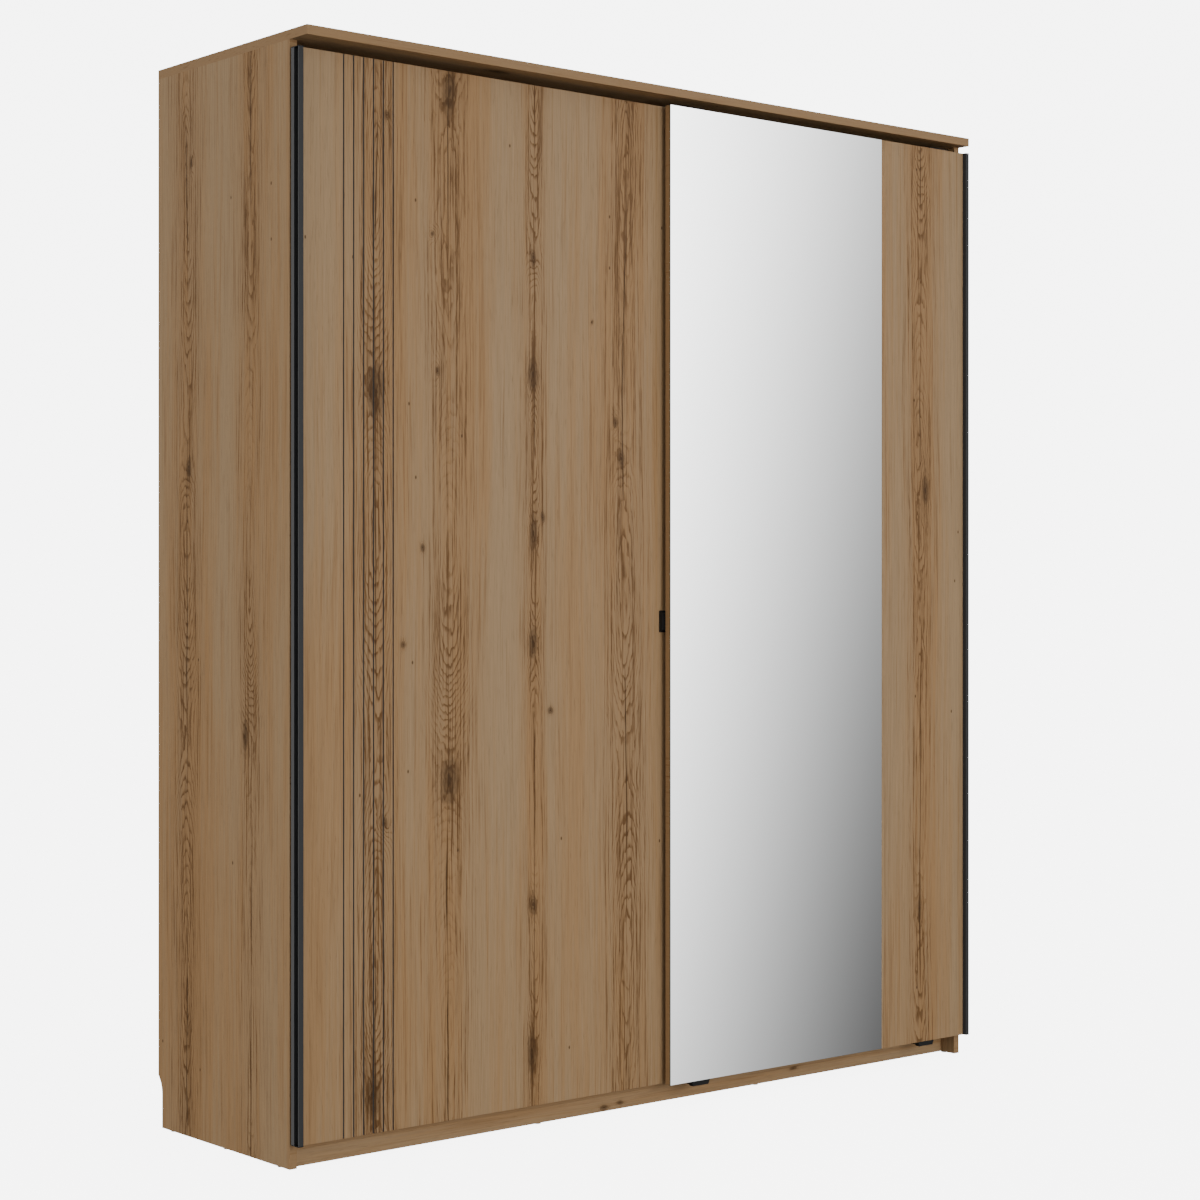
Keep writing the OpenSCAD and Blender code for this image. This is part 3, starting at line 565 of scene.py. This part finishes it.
# Painted light and shade: a darker copy of the finish for faces turned to the front and a lighter
# copy for the outer side, standing in for how the lamps fall on the bar.
front_shaded_tone = graphite.mix((0.037, 0.038, 0.039), (0.051, 0.052, 0.053), uneven)
side_lit_tone = graphite.mix((0.095, 0.094, 0.094), (0.130, 0.129, 0.129), uneven)
sideways = abs(graphite.parts(graphite.facing)[0]).rise(0.4, 0.7)
outer_face = abs(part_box("left_handle")[0][0])
outermost = abs(x) > outer_face - 0.001
# The painted lighter tone goes only on the outermost side faces; all other faces keep the painted
# darker one.
tone = graphite.mix(front_shaded_tone, side_lit_tone, sideways * outermost)
graphite.wear(Base_Color=tone, Roughness=0.44 + 0.12 * cloud + 0.05 * drawn)
graphite.relief(drawn * 0.6 + grains * 0.4, 0.00004, 0.4)
dress(graphite, "left_handle", "right_handle")

# %% [markdown]
# ## Black moulded plastic
# End caps, guides, stops, the bumper and the glides are moulded in black plastic with
# a spark-eroded grain. A Voronoi pattern gives that grain its tiny pits, and noise
# gives the dull patches that handling leaves.

# %% The black plastic finish
black = Finish("black_moulded", Specular_IOR_Level=0.22)
pits = black.cells(black.place, 2200.0)
handled = black.noise(black.place, 3.0, 0.6, 45.0)
tone = black.mix((0.008, 0.008, 0.008), (0.017, 0.017, 0.017), handled)
black.wear(Base_Color=tone, Roughness=0.48 + 0.16 * handled)
black.relief(pits, 0.00005, 0.5)
dress(black, "left_handle_caps", "right_handle_caps", "left_guides", "right_guides",
      "left_bumper", "track_stops", "glides")

# %% [markdown]
# ## The mirror
# A mirror is clear float glass with silver and a coat of grey paint behind it. From
# the front only the silver shows; the ground edges are green, and the back is matt.
# Building three layers would let light be trapped between them and make noise, so one
# panel changes its finish by the way each face points.

# %% The mirror finish
mirror = Finish("mirror_silver", Specular_IOR_Level=0.5)
facing_y = mirror.parts(mirror.facing)[1]
front = 1.0 - facing_y.rise(-0.9, -0.6)
back = facing_y.rise(0.6, 0.9)
haze = mirror.noise(mirror.place, 2.0, 0.5, 3.0)
silver = mirror.mix((0.905, 0.915, 0.915), (0.925, 0.930, 0.930), haze)
ground = mirror.noise(mirror.place, 1.0, 0.5, 900.0)
edge_glass = mirror.mix((0.035, 0.075, 0.060), (0.070, 0.130, 0.105), ground)
patchy = mirror.noise(mirror.place, 4.0, 0.6, 60.0)
backing = mirror.mix((0.17, 0.17, 0.17), (0.22, 0.22, 0.22), patchy)
face = mirror.mix(edge_glass, silver, front)
mirror.wear(Base_Color=mirror.mix(face, backing, back), Metallic=front)
mirror.wear(Roughness=0.012 + (1.0 - front) * 0.35 + haze * 0.004)
dress(mirror, "mirror_panel")

# %% [markdown]
# ## Metals inside
# Brackets, screws, pins and cams are zinc plated: a bright metal with a patchy sheen,
# because the zinc crystals differ in size. The doors' hangers would show in the gap
# under the top if they were bright, so they are passivated black. The tracks are
# aluminium as it leaves the press, with lines along their length. The rail and its
# sockets are chromed.

# %% Zinc, aluminium and chrome
zinc = Finish("zinc_plated", Metallic=1.0)
crystals = {"Vector": zinc.place, "Scale": 260.0, "Smoothness": 0.4}
patches = zinc.add("ShaderNodeTexVoronoi", {"feature": "SMOOTH_F1"}, crystals, "Color")
grey = zinc.parts(patches)[0]
scuffs = zinc.noise(zinc.place, 4.0, 0.6, 420.0)
zinc.wear(Base_Color=zinc.mix((0.50, 0.51, 0.53), (0.66, 0.67, 0.69), grey * 0.6 + scuffs * 0.4))
zinc.wear(Roughness=0.26 + 0.16 * scuffs)
zinc.relief(scuffs, 0.00003, 0.4)
dress(zinc, "left_axles", "right_axles", "wall_brackets", "track_screws", "bracket_screws",
      "left_door_screws", "right_door_screws", "shelf_pins", "cam_locks", "cam_bolts")

black_zinc = Finish("black_passivated", Metallic=0.6, Specular_IOR_Level=0.2)
bloom = black_zinc.noise(black_zinc.place, 4.0, 0.6, 160.0)
specks = black_zinc.noise(black_zinc.place, 2.0, 0.5, 900.0)
tone = black_zinc.mix((0.012, 0.012, 0.013), (0.030, 0.030, 0.032), bloom * 0.7 + specks * 0.3)
black_zinc.wear(Base_Color=tone, Roughness=0.42 + 0.2 * bloom)
black_zinc.relief(specks, 0.00003, 0.4)
dress(black_zinc, "left_hangers", "right_hangers")

rolled = Finish("mill_aluminium", Metallic=1.0)
x, y, z = rolled.parts(rolled.place)
drawn = rolled.noise(rolled.point(x * 4.0, y * 2400.0, z * 2400.0), 2.0)
film = rolled.noise(rolled.point(x * 3.0, y * 40.0, z * 40.0), 2.0)
rolled.wear(Base_Color=rolled.mix((0.60, 0.61, 0.62), (0.74, 0.75, 0.76), drawn * 0.5 + film * 0.5))
rolled.wear(Roughness=0.30 + 0.15 * film)
rolled.relief(drawn, 0.00004, 0.5)
dress(rolled, "top_track", "bottom_guide_rail")

chrome = Finish("chrome_plate", Metallic=1.0)
breath = chrome.noise(chrome.place, 3.0, 0.6, 25.0)
chrome.wear(Base_Color=chrome.mix((0.74, 0.75, 0.77), (0.80, 0.81, 0.82), breath))
chrome.wear(Roughness=0.06 + 0.07 * breath)
dress(chrome, "hanging_rail", "rail_sockets")

# %% [markdown]
# ## Backs, strip, wheels and dowels
# The back is thin hardboard with a printed matt face. Its fibres show as a fine felt.
# The strip that joins the two sheets is white extruded plastic, the wheels are white
# nylon, a little yellow and waxy, and the dowels are beech with their grain along
# their length.

# %% The remaining finishes
sheet_back = Finish("printed_hardboard", Specular_IOR_Level=0.25)
felt = sheet_back.noise(sheet_back.place, 5.0, 0.65, 380.0)
blotch = sheet_back.noise(sheet_back.place, 3.0, 0.5, 7.0)
tone = sheet_back.mix((0.40, 0.31, 0.215), (0.47, 0.375, 0.27), felt * 0.5 + blotch * 0.5)
sheet_back.wear(Base_Color=tone, Roughness=0.62 + 0.2 * felt)
sheet_back.relief(felt, 0.0001, 0.5)
dress(sheet_back, "back_left", "back_right")

strip = Finish("white_strip", Specular_IOR_Level=0.4)
x, y, z = strip.parts(strip.place)
streaks = strip.noise(strip.point(x * 900.0, y * 900.0, z * 4.0), 2.0)
strip.wear(Base_Color=strip.mix((0.66, 0.66, 0.64), (0.73, 0.73, 0.71), streaks))
strip.wear(Roughness=0.42 + 0.1 * streaks)
dress(strip, "back_joint_strip")

nylon = Finish("white_nylon", Specular_IOR_Level=0.5, Subsurface_Weight=0.1)
wax = nylon.noise(nylon.place, 3.0, 0.6, 180.0)
nylon.wear(Base_Color=nylon.mix((0.66, 0.65, 0.60), (0.74, 0.73, 0.69), wax))
nylon.wear(Roughness=0.34 + 0.14 * wax)
dress(nylon, "left_wheel_1", "left_wheel_2", "right_wheel_1", "right_wheel_2")

beech = Finish("raw_beech", Specular_IOR_Level=0.3)
x, y, z = beech.parts(beech.place)
flecks = beech.noise(beech.point(x * 900.0, y * 900.0, z * 60.0), 2.0)
beech.wear(Base_Color=beech.mix((0.50, 0.33, 0.18), (0.62, 0.44, 0.27), flecks))
beech.wear(Roughness=0.6 + 0.15 * flecks)
beech.relief(flecks, 0.0001, 0.4)
dress(beech, "dowels")

# %% [markdown]
# ## Floor and backdrop
# The wardrobe stands in a white studio. One sheet runs from the floor up a wide curve
# to a wall behind, so that there is no line where they meet. It is only a stage and
# isn't part of the object.

# %% The studio sheet
def studio_sheet(name, reach, curve_start, curve_radius, wall_height):
    """A floor that turns up into a wall on every side, as one lathe-turned dish."""
    curve_steps = 24
    around = 96
    profile = [(curve_start, 0.0)]
    for i in range(1, curve_steps + 1):
        turn = math.pi / 2 * i / curve_steps
        out = curve_start + curve_radius * math.sin(turn)
        profile.append((out, curve_radius * (1 - math.cos(turn))))
    profile.append((reach, wall_height))
    points = [(0.0, 0.0, 0.0)]
    faces = []
    for i in range(around):
        angle = 2 * math.pi * i / around
        for out, up in profile:
            points.append((out * math.cos(angle), out * math.sin(angle), up))
    rings = len(profile)
    for i in range(around):
        here = 1 + i * rings
        there = 1 + (i + 1) % around * rings
        faces.append((0, here, there))
        for j in range(rings - 1):
            faces.append((here + j, here + j + 1, there + j + 1, there + j))
    mesh = bpy.data.meshes.new(name)
    mesh.from_pydata(points, [], faces)
    for polygon in mesh.polygons:
        polygon.use_smooth = True
    sheet = bpy.data.objects.new(name, mesh)
    bpy.context.scene.collection.objects.link(sheet)
    return sheet


paper = Finish("studio_paper", Specular_IOR_Level=0.1)
grain = paper.noise(paper.place, 3.0, 0.5, 90.0)
paper.wear(Base_Color=paper.mix((0.90, 0.90, 0.90), (0.92, 0.92, 0.92), grain), Roughness=0.85)
paper.wear(Emission_Color=(1.0, 1.0, 1.0, 1.0), Emission_Strength=6.0)
floor = studio_sheet("studio_floor", reach=14.0, curve_start=9.0, curve_radius=4.0,
                     wall_height=9.0)
floor.data.materials.append(paper.material)
floor.visible_diffuse = False
floor.visible_glossy = False
print("floor points:", len(floor.data.vertices))

# %% [markdown]
# ## What the mirror sees
# A mirror has no look of its own: it shows the room. Here it should show a soft
# white that fades to grey towards its lower right, as from a big lamp above. A card
# stands where the mirror's reflection goes, and its glow carries that fade: a slope
# up and across the card, slightly bent, as a power of e. Towards its borders the card
# turns clear, so that the mirror never shows its edge. The camera doesn't see the
# card itself, so it hides nothing in other views.

# %% The reflected card
def reflected_card(name, centre, turn, width, height):
    """An upright card whose own x runs along it, facing back to the wardrobe."""
    half = width / 2
    corners = [(-half, 0, 0), (half, 0, 0), (half, 0, height), (-half, 0, height)]
    mesh = bpy.data.meshes.new(name)
    mesh.from_pydata(corners, [], [(0, 1, 2, 3)])
    card = bpy.data.objects.new(name, mesh)
    card.location = centre
    card.rotation_euler = (0, 0, turn)
    bpy.context.scene.collection.objects.link(card)
    return card


below_floor = 1.5
card = reflected_card("mirror_card", (2.45, -2.45, -below_floor), turn=math.radians(45),
                      width=2.6, height=6.0)
glow = Finish("card_glow")
x, _, z = glow.parts(glow.place)
up = z - below_floor
slope = up * 0.70 - x * 3.1
bend = x * up * 0.42 - x * x * 1.2 - up * up * 0.075
within = (1.0 - abs(x).rise(0.42, 1.1)) * (1.0 - abs(up - 1.05).rise(1.65, 2.6))
glow.wear(Base_Color=(0.0, 0.0, 0.0, 1.0), Emission_Strength=1.0, Alpha=within)
glow.wear(Emission_Color=glow.shade((1.0, 1.0, 1.0), (slope + bend - 0.33).sum("EXPONENT")))
card.data.materials.append(glow.material)
card.visible_camera = False
card.visible_diffuse = False
card.visible_shadow = False
print("card at", tuple(round(value, 2) for value in card.location))

# %% [markdown]
# ## Light
# Soft light from all round comes from a world that is white above and grey below. Two
# large lamps give it a direction: one straight in front, for the doors, and one on the
# left, for the side. A thin third lamp lies on the board under the top panel and
# shines up, so that the gap above the doors isn't black.

# %% World and lamps
world = bpy.data.worlds.new("studio_air")
bpy.context.scene.world = world
world.use_nodes = True
air = Nodes(world.node_tree)
sky = air.tree.nodes["Background"]
direction = air.add("ShaderNodeTexCoord")
height = air.parts(direction)[2].rise(-0.5, 0.35)
shade = air.mix((0.24, 0.24, 0.24), (1.0, 1.0, 1.0), height)
air.tree.links.new(shade.socket, sky.inputs["Color"])
sky.inputs["Strength"].default_value = 0.60


def lamp(name, place, aim, width, height, power):
    """A flat lamp, seen by neither the camera nor the mirror."""
    light = bpy.data.lights.new(name, "AREA")
    light.shape = "RECTANGLE"
    light.size = width
    light.size_y = height
    light.energy = power
    holder = bpy.data.objects.new(name, light)
    holder.location = place
    path = [aim[i] - place[i] for i in range(3)]
    level = math.hypot(path[0], path[1])
    holder.rotation_euler = (math.atan2(level, -path[2]), 0, math.atan2(-path[0], path[1]))
    holder.visible_camera = False
    holder.visible_glossy = False
    bpy.context.scene.collection.objects.link(holder)
    return holder


lamp("front_lamp", (0.3, -6.2, 1.3), (0.0, 0.0, 1.05), width=2.8, height=3.0, power=195.0)
lamp("left_lamp", (-6.0, -0.6, 1.3), (-0.9, 0.0, 1.1), width=3.0, height=2.6, power=114.0)
low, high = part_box("carcass_top")
deep = low[1] + 0.2
lamp("gap_fill", (0.0, deep, high[2] + 0.012), (0.0, deep, 3.0), width=1.7, height=0.1, power=0.30)

# %% [markdown]
# ## Camera
# A long lens stands about five metres off, at breast height and dead level, so that
# all uprights stay upright. The lens shift is just what the framing needs.

# %% The camera
eye = bpy.data.cameras.new("studio_camera")
eye.lens = 74.07
eye.sensor_width = 36.0
eye.shift_y = -0.01305
eye.clip_end = 100.0
camera = bpy.data.objects.new("studio_camera", eye)
camera.location = (-3.3833, -4.0533, 1.0791)
camera.rotation_euler = (math.radians(90.0), 0.0, math.radians(-40.03))
bpy.context.scene.collection.objects.link(camera)
bpy.context.scene.camera = camera
print("camera at", tuple(camera.location), "lens", eye.lens)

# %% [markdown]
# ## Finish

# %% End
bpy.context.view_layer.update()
